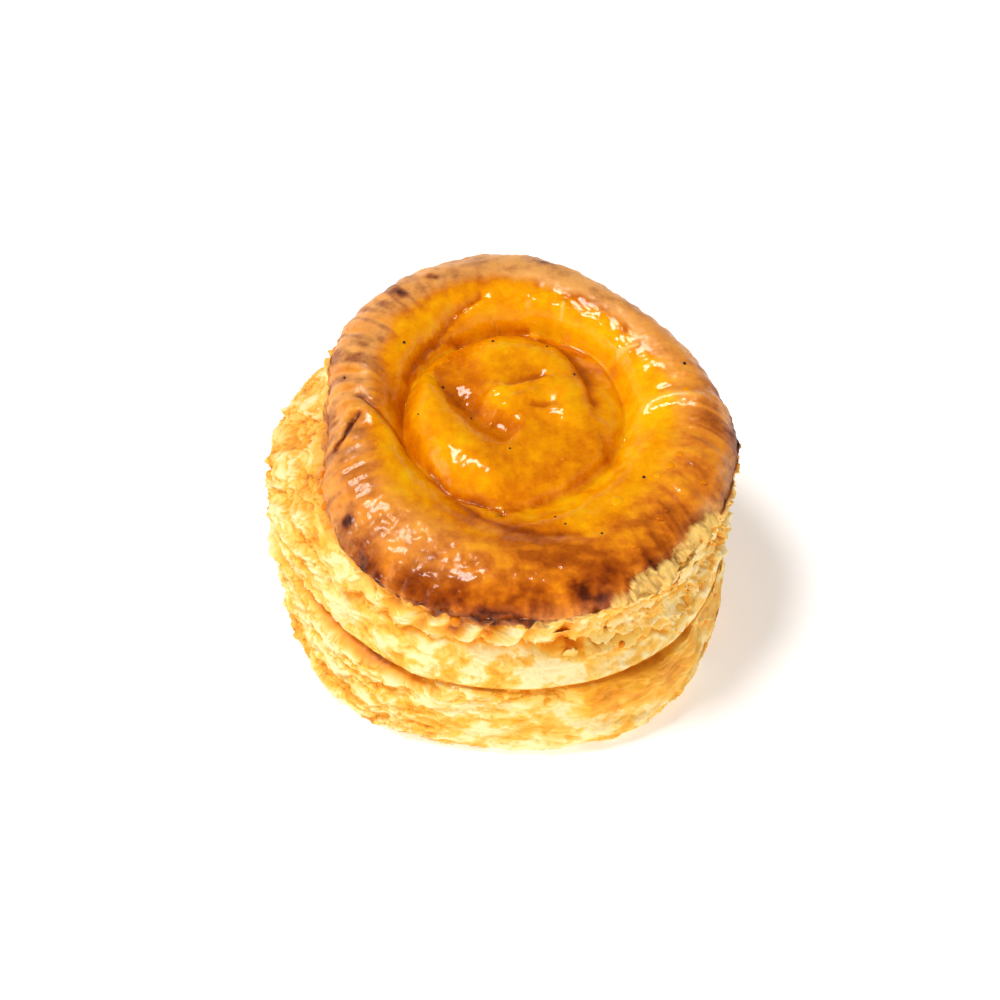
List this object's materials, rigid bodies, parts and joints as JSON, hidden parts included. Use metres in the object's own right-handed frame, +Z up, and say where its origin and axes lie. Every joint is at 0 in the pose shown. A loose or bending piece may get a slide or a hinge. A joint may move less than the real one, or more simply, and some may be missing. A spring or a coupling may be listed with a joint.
{
  "type": "puff pastry pie",
  "caption": "Round closed puff pastry pie: a flaky base disc under a glazed lid with a swirled dome inside a pressed ring groove.",
  "frame": {"origin": "middle of the pie on the surface it rests on", "axes": "+Z up through the lid, the side shown in the picture towards -Y"},
  "size_m": [0.0969, 0.0963, 0.0542],
  "materials": {
    "glazed_crust": "egg-washed, baked golden to dark brown, glossy",
    "flaky_crust": "pale, flaky, matt to satin"
  },
  "bodies": {
    "root": {"pastry_lid": "glazed_crust", "pastry_base": "flaky_crust"}
  },
  "joints": []
}
